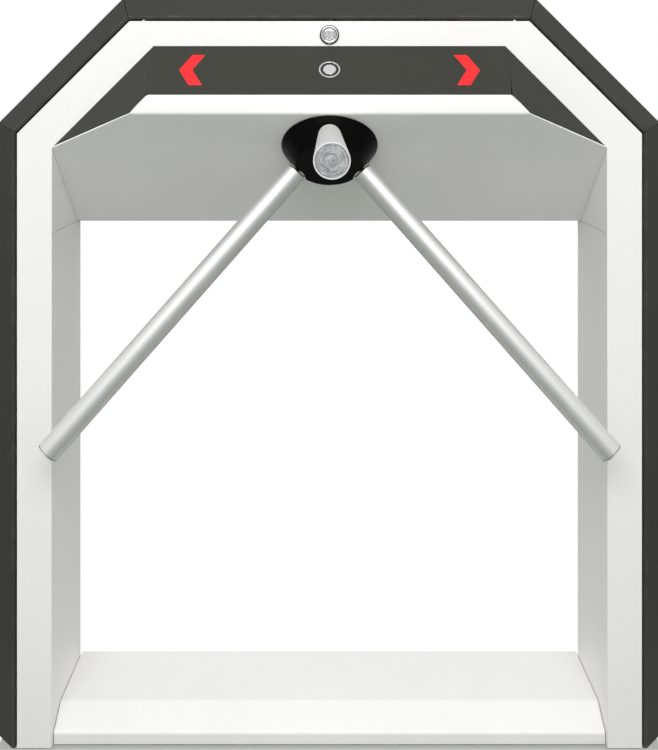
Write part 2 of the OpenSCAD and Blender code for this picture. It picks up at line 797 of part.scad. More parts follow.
module arm_caps() color(steel) for (k = [0 : arms - 1]) on_arm(k)
    rod(arm_dia / 2 - arm_wall - run_play, arm_reach - cap_set_back - cap_t, arm_reach - cap_set_back);

module lock_disc() color(steel) on_axis() difference() {
    rod(lock_disc_r, disc_back, disc_front);
    rod(shaft_r + run_play, disc_back - past, disc_front + past);
    for (k = [0 : notches - 1]) rotate([0, 0, k * 360 / notches])
        block([lock_disc_r - notch_d, -tooth_w / 2 - 1, disc_back - past],
            [lock_disc_r + past, tooth_w / 2 + 1, disc_front + past]);
}

// Angle, seen from the gear's axis, between a tooth flank's start and radius r
function roll(base, r) = let (t = sqrt(max(0, (r / base) ^ 2 - 1))) t * 180 / PI - atan(t);

// Half of a tooth's angle at radius r
function tooth_half(teeth, r) = let (pitch_r = gear_module * teeth / 2, base = pitch_r * cos(pressure))
    (90 - backlash / gear_module * 180 / PI) / teeth + roll(base, pitch_r) - roll(base, max(r, base));

module gear_outline(teeth) {
    pitch_r = gear_module * teeth / 2;
    steps = [-1.25, -0.5, 0, 0.5, 1];
    radii = [for (s = steps) pitch_r + s * gear_module];
    polygon([for (k = [0 : teeth - 1], side = [-1, 1], i = [0 : len(radii) - 1])
        let (r = radii[side < 0 ? i : len(radii) - 1 - i], a = k * 360 / teeth + side * tooth_half(teeth, r))
        [r * cos(a), r * sin(a)]]);
}

module drive_gear() color(steel) on_axis() difference() {
    union() {
        translate([0, 0, gear_back]) linear_extrude(gear_w) gear_outline(gear_teeth);
        rod(shaft_r + 7, encoder_front, gear_front);
    }
    rod(shaft_r + run_play, encoder_front - past, gear_front + past);
}

module encoder_disc() color(black) on_axis() difference() {
    rod(encoder_r, encoder_back, encoder_front);
    rod(shaft_r + run_play, encoder_back - past, encoder_front + past);
    for (k = [0 : encoder_slots - 1]) rotate([0, 0, k * 360 / encoder_slots])
        block([encoder_r - 7, -1.5, encoder_back - past], [encoder_r - 2, 1.5, encoder_front + past]);
}

// Two optical forks straddle the encoder disc's edge, on a bracket from the plate
module rotation_sensor() color(green) on_axis() {
    block([-fork_bar_half, fork_bar_y, encoder_back - 4 * fork_t],
        [fork_bar_half, fork_bar_y + fork_bar_t, plate_back]);
    for (side = [-1, 1]) translate([side * fork_x, 0, 0]) {
        block([-fork_half, fork_in, encoder_front + fork_t],
            [fork_half, fork_bar_y, encoder_front + 2 * fork_t]);
        block([-fork_half, fork_in, encoder_back - 3 * fork_t],
            [fork_half, fork_bar_y, encoder_back - fork_t]);
    }
    block([-fork_bar_half, fork_bar_y, plate_back - fork_bar_t],
        [fork_bar_half, fork_bar_y + fork_foot, plate_back]);
}

module beside_shaft() on_axis() translate([gear_centres, 0, 0]) children();

// The pinion is turned half a tooth, so that its gap faces the drive gear's tooth
module damper_pinion() color(steel) beside_shaft() {
    translate([0, 0, gear_back - 1]) rotate([0, 0, 180 / pinion_teeth])
        linear_extrude(gear_w + 2) gear_outline(pinion_teeth);
    rod(pinion_shaft_r, gear_back - 1, plate_back - 6);
}

module centring_damper() color(black) beside_shaft() difference() {
    rod(damper_r, plate_back - damper_l, plate_back);
    rod(pinion_shaft_r + run_play, plate_back - damper_l - past, plate_back - 5);
}

module pawl_pins() color(steel) on_axis() for (side = [-1, 1])
    translate([side * pawl_pivot_x, pawl_pivot_y, 0]) {
        rod(pawl_pin_r, plate_back, disc_front + 2);
        rod(pawl_pin_r + 3, plate_front, disc_back - seam);
    }

// A lever with a tooth that reaches into the lock disc
module pawl() color(zinc) on_axis() difference() {
    translate([0, 0, disc_back]) linear_extrude(disc_t) union() {
        translate([pawl_pivot_x, pawl_pivot_y]) circle(pawl_boss_r);
        polygon([
            [pawl_pivot_x - 5, pawl_pivot_y + 6], [pawl_pivot_x + 7, pawl_pivot_y - 4],
            [pawl_outer_x, -14], [pawl_outer_x, pawl_top_y], [pawl_inner_x, pawl_top_y],
            [pawl_inner_x, tooth_w / 2], [tooth_tip, tooth_w / 2], [tooth_tip, -tooth_w / 2],
            [pawl_inner_x, -tooth_w / 2], [pawl_inner_x - 2, -20]
        ]);
    }
    translate([pawl_pivot_x, pawl_pivot_y, 0])
        rod(pawl_pin_r + run_play, disc_back - past, disc_front + past);
}

module right_pawl() pawl();
module left_pawl() mirror([1, 0, 0]) pawl();

module at_coil() translate([pawl_outer_x, pusher_y, disc_mid]) rotate([0, 90, 0]) children();

// Each coil stands on the plate on its own foot
module solenoids() color(black) on_axis() mirrored_pair() difference() {
    union() {
        translate([pawl_outer_x + coil_gap, pusher_y - coil_h / 2, disc_mid - coil_h / 2])
            cube([coil_w, coil_h, coil_h]);
        block([pawl_outer_x + coil_gap, pusher_y - coil_h / 2, plate_front],
            [pawl_outer_x + coil_gap + coil_w, pusher_y + coil_h / 2, -coil_h / 3]);
    }
    at_coil() rod(plunger_r + run_play, 0, coil_gap + coil_w - 2);
}

module plunger() color(steel) on_axis() at_coil() rod(plunger_r, pusher_play, pusher_play + plunger_l);
module right_plunger() plunger();
module left_plunger() mirror([1, 0, 0]) plunger();

// The supply cable rises from the floor beside the left post, then runs behind the plate
module supply_cable() {
    bend_r = 25;
    r = cable_dia / 2;
    x = -half_in - anchor_in;
    color(black) on_arch() translate([x, cable_y, 0]) {
        rod(r, base_t + 1, cable_z - bend_r);
        translate([bend_r, 0, cable_z - bend_r]) rotate([90, 0, 0])
            rotate_extrude(angle = 90, start = 90) translate([bend_r, 0]) circle(r);
        translate([bend_r, 0, cable_z]) rotate([0, 90, 0]) rod(r, 0, -x - bend_r - board_x1 - 2);
    }
}

// The board stands off the back of the plate, with its terminals at the outer end
module control_board() color(green) on_axis() {
    board_back = plate_back - board_stand_off - board_t;
    block([-board_x1, board_low, board_back], [-board_x0, board_high, board_back + board_t]);
    block([-board_x1 - 2, board_low - 10, board_back - terminals_w],
        [-board_x1 + terminals_w - 2, board_low + 25, plate_back - board_t]);
    for (x = [-board_x1 + terminals_w + 4, -board_x0 - 6], y = [board_low + 6, board_high - 6])
        translate([x, y, 0]) rod(3, board_back + board_t / 2, plate_back);
    block([-250, -50, board_back - 3], [-225, -25, board_back + board_t / 2]);
}

module power_supply() color(zinc) on_axis()
    block([board_x0, board_low, plate_back - 42], [board_x1, supply_high, plate_back]);

front_panel();
rear_panel();
housing_ends();
housing_shell();
indicator_fascia();
left_nose_side();
right_nose_side();
left_arrow_lens();
right_arrow_lens();
led_boards();
fascia_badge();
left_side_cover();
right_side_cover();
left_corner_cover();
right_corner_cover();
top_lid();
lid_hook();
lid_hinge_fixed_leaves();
lid_hinge_moving_leaves();
lid_hinge_pins();
lock_body();
lock_nut();
lock_plug();
lock_cam();
plinth_cover();
floor_tie_channel();
left_base_plate();
right_base_plate();
left_post();
right_post();
cross_beam();
supply_cable();
control_board();
power_supply();
mechanism_plate();
mechanism_screws();
bearing_housing();
shaft_bearings();
main_shaft();
shaft_nut();
hub_carrier();
hub_cover();
arm_1();
arm_2();
arm_3();
arm_collars();
arm_caps();
lock_disc();
drive_gear();
encoder_disc();
rotation_sensor();
damper_pinion();
centring_damper();
pawl_pins();
left_pawl();
right_pawl();
solenoids();
left_plunger();
right_plunger();
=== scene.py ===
# %% [markdown]
# # A counting turnstile: the looks
# The object is a steel arch that people walk through. A black hub with three satin steel arms turns in
# front of it, and every passage is counted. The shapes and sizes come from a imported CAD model, which is
# loaded as a fixed frame. This file gives every piece its finish, rounds the folds of the sheet metal,
# and turns the round parts afresh, so that light catches them as it catches the real ones.
#
# Units are metres. X runs across the passage, Y from front to rear, and Z up. The floor is at Z = 0.

# %% Load the frame
import json
import math

import bmesh
import bpy
from mathutils import Matrix, Vector


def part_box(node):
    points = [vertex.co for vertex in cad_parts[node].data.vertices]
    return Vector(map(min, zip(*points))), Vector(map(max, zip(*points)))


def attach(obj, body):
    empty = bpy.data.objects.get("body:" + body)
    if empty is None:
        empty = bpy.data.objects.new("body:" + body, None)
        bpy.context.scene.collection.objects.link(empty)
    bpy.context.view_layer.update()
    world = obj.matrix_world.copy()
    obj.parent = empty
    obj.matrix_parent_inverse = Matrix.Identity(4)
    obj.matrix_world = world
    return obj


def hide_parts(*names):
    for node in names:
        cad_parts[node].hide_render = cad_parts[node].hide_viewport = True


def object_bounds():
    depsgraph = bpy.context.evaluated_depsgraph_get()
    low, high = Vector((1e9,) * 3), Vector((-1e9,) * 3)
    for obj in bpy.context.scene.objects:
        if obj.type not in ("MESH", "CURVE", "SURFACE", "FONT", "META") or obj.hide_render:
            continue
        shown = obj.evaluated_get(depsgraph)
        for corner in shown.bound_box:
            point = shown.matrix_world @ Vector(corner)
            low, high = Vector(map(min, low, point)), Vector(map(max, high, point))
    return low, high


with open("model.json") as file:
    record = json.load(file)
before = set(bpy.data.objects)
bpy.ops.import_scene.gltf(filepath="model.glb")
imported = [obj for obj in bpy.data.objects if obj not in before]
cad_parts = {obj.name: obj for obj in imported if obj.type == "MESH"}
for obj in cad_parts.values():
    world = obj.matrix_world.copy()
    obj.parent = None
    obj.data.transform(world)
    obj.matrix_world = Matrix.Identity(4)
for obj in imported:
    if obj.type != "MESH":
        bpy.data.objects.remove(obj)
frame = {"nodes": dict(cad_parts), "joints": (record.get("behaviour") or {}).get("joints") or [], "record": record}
nodes = frame["nodes"]
cad_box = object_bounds()

# %% [markdown]
# ## Places that the frame gives
# The rotor's joint says where the shaft lies and where it points. The first arm lies level and points to
# the front, and the other two are a third of a turn away on either side. Every other place is measured
# on the CAD pieces themselves, so nothing has to be fitted by hand.

# %% Joints and axes
MM = 0.001
joints = {joint["name"]: joint for joint in frame["joints"]}
slots = {row["node"]: row["material_slot"] for row in frame["record"]["subparts"]}
body_of_node = {node: body for body, held in frame["record"]["behaviour"]["bodies"].items() for node in held}

apex = Vector(joints["rotor_spin"]["pos_m"])
shaft_way = Vector(joints["rotor_spin"]["axis"]).normalized()
front = Vector((0, -1, 0))
up = Vector((0, 0, 1))
lock_centre = Vector(joints["lock_turn"]["pos_m"])
arm_names = ("arm_1", "arm_2", "arm_3")
arm_ways = [Matrix.Rotation(math.tau / 3 * k, 3, shaft_way) @ front for k in range(3)]


def reach(node, centre, way):
    """How far a CAD node starts and ends along a line from centre, and its largest radius round it."""
    steps = [vertex.co - centre for vertex in nodes[node].data.vertices]
    along = [step.dot(way) for step in steps]
    radius = max((step - way * step.dot(way)).length for step in steps)
    return min(along), max(along), radius


for name, way in zip(arm_names, arm_ways):
    start, end, radius = reach(name, apex, way)
    print(f"{name}: {start:.4f} to {end:.4f} m, radius {radius:.4f} m")

# %% [markdown]
# ## Camera
# The camera stands level in front of the arch, a little below its top, and looks straight along Y. The
# lens is shifted down, as an architect's camera is, so that upright edges stay upright in the picture
# while the floor and the top both fit in.

# %% Camera
EYE = Vector((-0.005, -1.4915, 0.942))
LENS = 46.8
SENSOR = 36.0
SHIFT_RIGHT = 0.004
SHIFT_DOWN = 0.3728

camera_data = bpy.data.cameras.new("camera")
camera_data.lens = LENS
camera_data.sensor_width = SENSOR
camera_data.shift_x = SHIFT_RIGHT
camera_data.shift_y = -SHIFT_DOWN
camera = bpy.data.objects.new("camera", camera_data)
camera.location = EYE
camera.rotation_euler = (math.radians(90), 0, 0)
bpy.context.scene.collection.objects.link(camera)
bpy.context.scene.camera = camera
print("camera", [round(c, 4) for c in EYE], "lens", LENS)

# %% [markdown]
# ## Floor and light
# The studio is white all round, brighter above than below, and brighter still to the left and right, which
# lights the inner sides of the legs. One wide soft box above the front gives the arms their long
# highlights and leaves the underside in soft shade. The floor shows almost white to the camera, but
# returns less light than it shows, which keeps the sloped underside grey. It glows only faintly beneath
# the arch, so the narrow gap under the plinth reads as a dark line.

# %% Helpers for node trees
KINDS = {"value": "NodeSocketFloat", "colour": "NodeSocketColor", "vector": "NodeSocketVector"}


def new_group(name, inputs, outputs):
    """An empty node group with named sockets, and its input and output nodes."""
    tree = bpy.data.node_groups.new(name, "ShaderNodeTree")
    for label, kind, value in inputs:
        socket = tree.interface.new_socket(name=label, in_out="INPUT", socket_type=KINDS[kind])
        if value is not None:
            socket.default_value = value
    for label, kind in outputs:
        tree.interface.new_socket(name=label, in_out="OUTPUT", socket_type=KINDS[kind])
    return tree, tree.nodes.new("NodeGroupInput"), tree.nodes.new("NodeGroupOutput")


def noise(tree, vector, scale, detail=2.0, roughness=0.5):
    """A noise texture. The scale is a number, or the socket that gives it."""
    texture = tree.nodes.new("ShaderNodeTexNoise")
    texture.inputs["Detail"].default_value = detail
    texture.inputs["Roughness"].default_value = roughness
    tree.links.new(vector, texture.inputs["Vector"])
    if isinstance(scale, (int, float)):
        texture.inputs["Scale"].default_value = scale
    else:
        tree.links.new(scale, texture.inputs["Scale"])
    return texture.outputs["Fac"]


def spread(tree, value, low, high, to_low=0.0, to_high=1.0, smooth=False):
    """Maps the range from low to high onto another one. Each end is a number or a socket."""
    node = tree.nodes.new("ShaderNodeMapRange")
    node.interpolation_type = "SMOOTHSTEP" if smooth else "LINEAR"
    tree.links.new(value, node.inputs["Value"])
    for label, end in (("From Min", low), ("From Max", high), ("To Min", to_low), ("To Max", to_high)):
        if isinstance(end, (int, float)):
            node.inputs[label].default_value = end
        else:
            tree.links.new(end, node.inputs[label])
    return node.outputs["Result"]


def maths(tree, operation, first, second=None):
    """One arithmetic step. Each side is a number or a socket."""
    node = tree.nodes.new("ShaderNodeMath")
    node.operation = operation
    for socket, side in zip(node.inputs, (first, second)):
        if isinstance(side, (int, float)):
            socket.default_value = side
        elif side is not None:
            tree.links.new(side, socket)
    return node.outputs["Value"]


# A mix node has a socket of the same name for each kind of value, so the colour ones go by their places.
MIX_FACTOR, MIX_FIRST, MIX_SECOND = 0, 6, 7
MIX_RESULT = 2


def mix(tree, factor, first, second):
    """Mixes two colours. Each is a tuple or a socket, and the factor is a number or a socket."""
    node = tree.nodes.new("ShaderNodeMix")
    node.data_type = "RGBA"
    for place, side in ((MIX_FACTOR, factor), (MIX_FIRST, first), (MIX_SECOND, second)):
        socket = node.inputs[place]
        if isinstance(side, (int, float)):
            socket.default_value = side
        elif isinstance(side, tuple):
            socket.default_value = (*side, 1)
        else:
            tree.links.new(side, socket)
    return node.outputs[MIX_RESULT]


def object_place(tree):
    """The point of the surface in the object's own coordinates, which are the frame's."""
    return tree.nodes.new("ShaderNodeTexCoord").outputs["Object"]


# %% Sky
SKY_LOW = 0.66
SKY_HIGH = 0.80
SKY_SIDE = 1.22
SKY_SHOWN = 1.0

world = bpy.data.worlds.new("studio")
bpy.context.scene.world = world
world.use_nodes = True
sky = world.node_tree
looking = sky.nodes.new("ShaderNodeSeparateXYZ")
sky.links.new(sky.nodes.new("ShaderNodeTexCoord").outputs["Generated"], looking.inputs["Vector"])
height = spread(sky, looking.outputs["Z"], -0.1, 0.7, SKY_LOW, SKY_HIGH, smooth=True)
sideways = spread(sky, maths(sky, "ABSOLUTE", looking.outputs["X"]), 0.45, 0.9, 1.0, SKY_SIDE, smooth=True)
seen = sky.nodes.new("ShaderNodeLightPath").outputs["Is Camera Ray"]
strength = spread(sky, seen, 0.0, 1.0, maths(sky, "MULTIPLY", height, sideways), SKY_SHOWN)
sky.links.new(strength, sky.nodes["Background"].inputs["Strength"])
sky.nodes["Background"].inputs["Color"].default_value = (1, 1, 1, 1)
bpy.context.scene.view_settings.view_transform = "Standard"
print(f"sky: {SKY_LOW} low, {SKY_HIGH} high, {SKY_SIDE} of that to the sides")

# %% Floor
FLOOR_HALF = 14.0
FLOOR_GLOW = 0.80
FLOOR_COLOUR = (0.272, 0.286, 0.258)
FOOT_DIM = 0.25
FOOT_IN = 6 * MM

floor_mesh = bmesh.new()
bmesh.ops.create_grid(floor_mesh, x_segments=1, y_segments=1, size=FLOOR_HALF)
floor_data = bpy.data.meshes.new("floor")
floor_mesh.to_mesh(floor_data)
floor_mesh.free()
floor = bpy.data.objects.new("floor", floor_data)
bpy.context.scene.collection.objects.link(floor)

floor_finish = bpy.data.materials.new("studio_floor")
floor_finish.use_nodes = True
floor_tree = floor_finish.node_tree
floor_shader = floor_tree.nodes["Principled BSDF"]
floor_shader.inputs["Base Color"].default_value = (*FLOOR_COLOUR, 1)
floor_shader.inputs["Roughness"].default_value = 0.9
floor_shader.inputs["Specular IOR Level"].default_value = 0.1
floor_shader.inputs["Emission Color"].default_value = (1, 1, 1, 1)
floor_seen = floor_tree.nodes.new("ShaderNodeLightPath").outputs["Is Camera Ray"]
floor_place = floor_tree.nodes.new("ShaderNodeSeparateXYZ")
floor_tree.links.new(object_place(floor_tree), floor_place.inputs["Vector"])
# Beneath the object's footprint the glow drops to FOOT_DIM: a painted contact shadow on the floor.
past_foot = [maths(floor_tree, "GREATER_THAN", maths(floor_tree, "ABSOLUTE", floor_place.outputs[axis]),
                   cad_box[1][index] - FOOT_IN) for index, axis in enumerate("XY")]
open_floor = spread(floor_tree, maths(floor_tree, "MAXIMUM", *past_foot), 0.0, 1.0, FOOT_DIM, 1.0)
glow = maths(floor_tree, "MULTIPLY", maths(floor_tree, "MULTIPLY", floor_seen, FLOOR_GLOW), open_floor)
floor_tree.links.new(glow, floor_shader.inputs["Emission Strength"])
floor_data.materials.append(floor_finish)

# %% Soft box
LAMP_PLACE = Vector((-0.10, -2.2, 2.3))
LAMP_AIM = Vector((0, 0, 0.75))
LAMP_W = 2.2
LAMP_H = 1.2
LAMP_WATTS = 48

lamp_data = bpy.data.lights.new("key", "AREA")
lamp_data.shape = "RECTANGLE"
lamp_data.size = LAMP_W
lamp_data.size_y = LAMP_H
lamp_data.energy = LAMP_WATTS
lamp = bpy.data.objects.new("key", lamp_data)
lamp.location = LAMP_PLACE
lamp.rotation_euler = (LAMP_AIM - LAMP_PLACE).to_track_quat("-Z", "Y").to_euler()
lamp.visible_camera = False
bpy.context.scene.collection.objects.link(lamp)
print("soft box", LAMP_W, "by", LAMP_H, "m at", LAMP_WATTS, "W")

# %% [markdown]
# ## Effects that several finishes share
# Real paint isn't one flat colour: a powder coat has a fine grain, its tone drifts a little from place to
# place, its folds are polished by sleeves and bags and are painted lighter as a highlight, and dust settles
# low down. Each of these is a node group with named sockets, built once and used with its own values in
# each finish. A group only gives out colours, masks and heights. The shaders stay in the materials.

# %% [markdown]
# ### Coat grain
# Powder is sprayed on dry and melts into a skin with fine dimples, a millimetre or two across. Two noise
# textures make it: a fine one for the dimples, and a wide, faint one for the tone, because no two square
# decimetres of a coat are quite alike.

# %% Coat grain
coat_grain, coat_in, coat_out = new_group(
    "coat_grain",
    [("Colour", "colour", (0.8, 0.8, 0.8, 1)), ("Grain scale", "value", 520.0),
     ("Speckle", "value", 0.03), ("Drift", "value", 0.03)],
    [("Colour", "colour"), ("Gloss change", "value"), ("Height", "value")])
coat_place = object_place(coat_grain)
dimples = noise(coat_grain, coat_place, coat_in.outputs["Grain scale"], detail=3.0, roughness=0.6)
clouds = noise(coat_grain, coat_place, 4.5, detail=2.0)
speckle = maths(coat_grain, "MULTIPLY", spread(coat_grain, dimples, 0.3, 0.7, -1.0, 1.0),
                coat_in.outputs["Speckle"])
drift = maths(coat_grain, "MULTIPLY", spread(coat_grain, clouds, 0.3, 0.7, -1.0, 1.0),
              coat_in.outputs["Drift"])
tone = maths(coat_grain, "ADD", 1.0, maths(coat_grain, "ADD", speckle, drift))
tinted = coat_grain.nodes.new("ShaderNodeHueSaturation")
coat_grain.links.new(coat_in.outputs["Colour"], tinted.inputs["Color"])
coat_grain.links.new(tone, tinted.inputs["Value"])
coat_grain.links.new(tinted.outputs["Color"], coat_out.inputs["Colour"])
coat_grain.links.new(spread(coat_grain, dimples, 0.25, 0.75, -0.05, 0.05), coat_out.inputs["Gloss change"])
coat_grain.links.new(dimples, coat_out.inputs["Height"])
print("coat_grain has", len(coat_grain.nodes), "nodes")

# %% [markdown]
# ### Worn and highlighted folds
# Bags and sleeves rub the folds of the sheet metal, and only there. When an edge is rounded below, its new
# faces get the value 1 in an attribute named "fold", and this group breaks that value up with noise, so
# that the wear comes and goes along the edge. The same mask also paints the folds lighter, a painted
# highlight like the one that rounded edges catch from the lamps.

# %% Worn and highlighted folds
fold_wear_and_highlight, fold_group_in, fold_group_out = new_group(
    "fold_wear_and_highlight", [("Amount", "value", 0.5)], [("Mask", "value")])
fold_mark = fold_wear_and_highlight.nodes.new("ShaderNodeAttribute")
fold_mark.attribute_name = "fold"
fold_breakup_noise = noise(fold_wear_and_highlight, object_place(fold_wear_and_highlight), 38.0, detail=5.0, roughness=0.65)
patches = spread(fold_wear_and_highlight, fold_breakup_noise, 0.42, 0.68, 0.15, 1.0, smooth=True)
fold_wear_and_highlight_mask = maths(fold_wear_and_highlight, "MULTIPLY", maths(fold_wear_and_highlight, "MULTIPLY", fold_mark.outputs["Fac"], patches),
                  fold_group_in.outputs["Amount"])
fold_wear_and_highlight.links.new(fold_wear_and_highlight_mask, fold_group_out.inputs["Mask"])

# %% [markdown]
# ### Dust near the floor
# Shoes and mops leave a grey veil on whatever stands on a floor. It is strongest at the bottom and fades
# out within a few decimetres, so the mask reads the height and is broken up by noise.

# %% Floor dust
floor_dust, dust_in, dust_out = new_group(
    "floor_dust", [("Reach", "value", 0.25), ("Amount", "value", 0.3)], [("Mask", "value")])
dust_place = object_place(floor_dust)
dust_split = floor_dust.nodes.new("ShaderNodeSeparateXYZ")
floor_dust.links.new(dust_place, dust_split.inputs["Vector"])
nearness = spread(floor_dust, dust_split.outputs["Z"], dust_in.outputs["Reach"], 0.0, 0.0, 1.0, smooth=True)
streaks = noise(floor_dust, dust_place, 14.0, detail=6.0, roughness=0.6)
smears = spread(floor_dust, streaks, 0.3, 0.7, 0.5, 1.0)
dust_mask = maths(floor_dust, "MULTIPLY", maths(floor_dust, "MULTIPLY", nearness, smears),
                  dust_in.outputs["Amount"])
floor_dust.links.new(dust_mask, dust_out.inputs["Mask"])

# %% [markdown]
# ### Tool lines
# A tube is linished by a belt that runs round it, and a lathe leaves rings on a faced end. Both are lines
# that follow the piece and not the room. Each turned piece therefore carries its own coordinates in an
# attribute named "own_place", with Z along its axis, and this group stretches noise across them.

# %% Tool lines
tool_lines, lines_in, lines_out = new_group(
    "tool_lines",
    [("Along", "value", 2600.0), ("Across", "value", 30.0), ("Rings", "value", 0.0)],
    [("Lines", "value"), ("Height", "value")])
own = tool_lines.nodes.new("ShaderNodeAttribute")
own.attribute_name = "own_place"
own_split = tool_lines.nodes.new("ShaderNodeSeparateXYZ")
tool_lines.links.new(own.outputs["Vector"], own_split.inputs["Vector"])
from_axis = maths(tool_lines, "SQRT", maths(
    tool_lines, "ADD", maths(tool_lines, "POWER", own_split.outputs["X"], 2.0),
    maths(tool_lines, "POWER", own_split.outputs["Y"], 2.0)))
belt = tool_lines.nodes.new("ShaderNodeCombineXYZ")
tool_lines.links.new(maths(tool_lines, "MULTIPLY", own_split.outputs["X"], lines_in.outputs["Across"]),
                     belt.inputs["X"])
tool_lines.links.new(maths(tool_lines, "MULTIPLY", own_split.outputs["Y"], lines_in.outputs["Across"]),
                     belt.inputs["Y"])
line_step = maths(tool_lines, "ADD",
                  maths(tool_lines, "MULTIPLY", own_split.outputs["Z"], lines_in.outputs["Along"]),
                  maths(tool_lines, "MULTIPLY", from_axis, lines_in.outputs["Rings"]))
tool_lines.links.new(line_step, belt.inputs["Z"])
scratches = noise(tool_lines, belt.outputs["Vector"], 1.0, detail=3.0, roughness=0.7)
tool_lines.links.new(spread(tool_lines, scratches, 0.3, 0.7), lines_out.inputs["Lines"])
tool_lines.links.new(scratches, lines_out.inputs["Height"])

# %% [markdown]
# ## Finishes
# One function per finish. Each starts from the plain shader, sets what is the same all over the surface
# straight on the shader's sockets, and links only what changes from place to place.

# %% Helpers for finishes
finishes = {}


def new_finish(name, **constants):
    """A material with a Principled shader whose plain sockets are set by name."""
    material = bpy.data.materials.new(name)
    material.use_nodes = True
    shader = material.node_tree.nodes["Principled BSDF"]
    for label, value in constants.items():
        shader.inputs[label.replace("_", " ")].default_value = value
    finishes[name] = material
    return material.node_tree, shader


def use_group(tree, group, **values):
    """A group placed in a material, with its plain inputs set by name."""
    node = tree.nodes.new("ShaderNodeGroup")
    node.node_tree = group
    for label, value in values.items():
        node.inputs[label.replace("_", " ")].default_value = value
    return node


def bump(tree, shader, height, distance, strength=1.0):
    """A bump of a real depth, in metres, from a height that runs from 0 to 1."""
    node = tree.nodes.new("ShaderNodeBump")
    node.inputs["Distance"].default_value = distance
    node.inputs["Strength"].default_value = strength
    tree.links.new(height, node.inputs["Height"])
    tree.links.new(node.outputs["Normal"], shader.inputs["Normal"])


# %% [markdown]
# ### Painted sheet metal
# The body is white, and the covers and the indicator fascia are charcoal. Both are the same kind of powder
# coat, so one function makes both, with a stronger grain in the dark one, where it shows more.

# %% Painted sheet metal


def painted(name, colour, fold_wear_and_highlight_colour, dust_colour, sheen, roughness, speckle, drift, fold_wear_and_highlight_amount, dust,
            grain, depth):
    """Powder coat with grain, folds that are worn and painted lighter as a highlight, and floor dust."""
    tree, shader = new_finish(name, Specular_IOR_Level=sheen)
    coat = use_group(tree, coat_grain, Colour=(*colour, 1), Grain_scale=grain, Speckle=speckle, Drift=drift)
    folds_worn_and_lit = use_group(tree, fold_wear_and_highlight, Amount=fold_wear_and_highlight_amount)
    dusty = use_group(tree, floor_dust, Amount=dust)
    # The fold mask mixes in a lighter colour: partly wear, partly a painted highlight on the folds.
    with_worn_lit_folds = mix(tree, folds_worn_and_lit.outputs["Mask"], coat.outputs["Colour"], fold_wear_and_highlight_colour)
    tree.links.new(mix(tree, dusty.outputs["Mask"], with_worn_lit_folds, dust_colour), shader.inputs["Base Color"])
    gloss = maths(tree, "ADD", roughness, coat.outputs["Gloss change"])
    gloss = maths(tree, "SUBTRACT", gloss, maths(tree, "MULTIPLY", folds_worn_and_lit.outputs["Mask"], 0.12))
    gloss = maths(tree, "ADD", gloss, maths(tree, "MULTIPLY", dusty.outputs["Mask"], 0.3))
    tree.links.new(gloss, shader.inputs["Roughness"])
    bump(tree, shader, coat.outputs["Height"], depth)


# Each coat's fold colour is lighter than the coat itself: worn paint and a painted highlight at once.
painted("white_paint", (0.862, 0.858, 0.846), (0.93, 0.93, 0.925), (0.50, 0.48, 0.44),
        sheen=0.5, roughness=0.46, speckle=0.022, drift=0.014, fold_wear_and_highlight_amount=0.5, dust=0.10, grain=520.0,
        depth=0.00008)
painted("charcoal_paint", (0.040, 0.0405, 0.034), (0.11, 0.115, 0.105), (0.13, 0.125, 0.115),
        sheen=0.12, roughness=0.50, speckle=0.16, drift=0.07, fold_wear_and_highlight_amount=0.6, dust=0.22, grain=620.0, depth=0.00012)

# %% [markdown]
# ### Satin steel and faced aluminium
# The arms are stainless tube, linished round and then blasted a little, which gives a broad soft highlight
# with fine lines across it. Their colour darkens towards their outlines, a painted shade. The end caps are
# faced on a lathe, so their rings show more.

# %% Bright metals


def bright_metal(name, colour, dark, roughness, along, across, rings, line_share, mottle, depth, blotch,
                 grazing_shade=0.0):
    """Bare metal with tool lines, a cloud of finger marks, painted shade where "joint" is marked, and colour
    darkened towards grazing angles as painted shade.
    """
    tree, shader = new_finish(name, Metallic=1.0)
    lines = use_group(tree, tool_lines, Along=along, Across=across, Rings=rings)
    clouds = noise(tree, object_place(tree), blotch, detail=4.0, roughness=0.6)
    marks = spread(tree, clouds, 0.35, 0.75, 0.0, 1.0, smooth=True)
    shade = maths(tree, "MULTIPLY", lines.outputs["Lines"], line_share)
    shade = maths(tree, "ADD", shade, maths(tree, "MULTIPLY", marks, mottle))
    joint = tree.nodes.new("ShaderNodeAttribute")
    joint.attribute_name = "joint"
    surface = mix(tree, shade, colour, dark)
    # Towards grazing angles the colour is darkened by grazing_shade: a painted shade along the outlines.
    rim = tree.nodes.new("ShaderNodeLayerWeight")
    rim.inputs["Blend"].default_value = 0.5
    edge = spread(tree, rim.outputs["Facing"], 0.86, 1.0, 0.0, grazing_shade, smooth=True)
    surface = mix(tree, edge, surface, (0.10, 0.10, 0.10))
    # Faces marked "joint" are painted near black: painted shade in grooves, on steps and on the lock's chamfer.
    tree.links.new(mix(tree, joint.outputs["Fac"], surface, (0.03, 0.03, 0.032)), shader.inputs["Base Color"])
    gloss = maths(tree, "ADD", roughness, maths(tree, "MULTIPLY", lines.outputs["Lines"], 0.09))
    gloss = maths(tree, "ADD", gloss, maths(tree, "MULTIPLY", marks, 0.06))
    tree.links.new(gloss, shader.inputs["Roughness"])
    bump(tree, shader, lines.outputs["Height"], depth)


